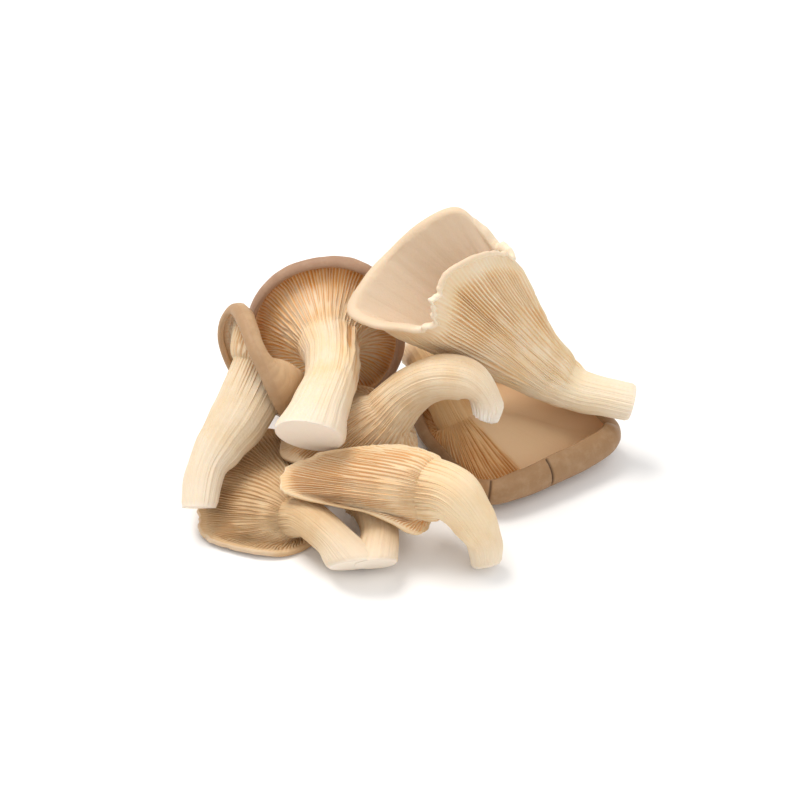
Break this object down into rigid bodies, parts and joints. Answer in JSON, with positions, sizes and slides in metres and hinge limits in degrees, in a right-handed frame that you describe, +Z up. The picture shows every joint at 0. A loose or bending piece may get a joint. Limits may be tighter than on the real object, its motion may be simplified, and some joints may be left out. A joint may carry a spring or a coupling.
{
  "type": "oyster mushroom cluster",
  "caption": "Heap of loose oyster mushrooms with cut stems, fanned gills, rolled and torn cap margins, lying on one another.",
  "frame": {"origin": "middle of the heap's bounding box, on the surface that it rests on", "axes": "+X along the heap towards the big torn mushroom's foot, -Y to the side the picture was taken from, +Z up"},
  "size_m": [0.1822, 0.123, 0.099],
  "materials": {
    "mushroom_left": "soft matte mushroom flesh",
    "mushroom_back": "soft matte mushroom flesh",
    "mushroom_top": "soft matte mushroom flesh",
    "mushroom_middle": "soft matte mushroom flesh",
    "mushroom_right": "soft matte mushroom flesh",
    "mushroom_front": "soft matte mushroom flesh",
    "mushroom_pair": "soft matte mushroom flesh"
  },
  "bodies": {
    "root": {"mushroom_left": "mushroom_left", "mushroom_back": "mushroom_back", "mushroom_top": "mushroom_top", "mushroom_middle": "mushroom_middle", "mushroom_right": "mushroom_right", "mushroom_front": "mushroom_front", "mushroom_pair": "mushroom_pair"}
  },
  "joints": []
}
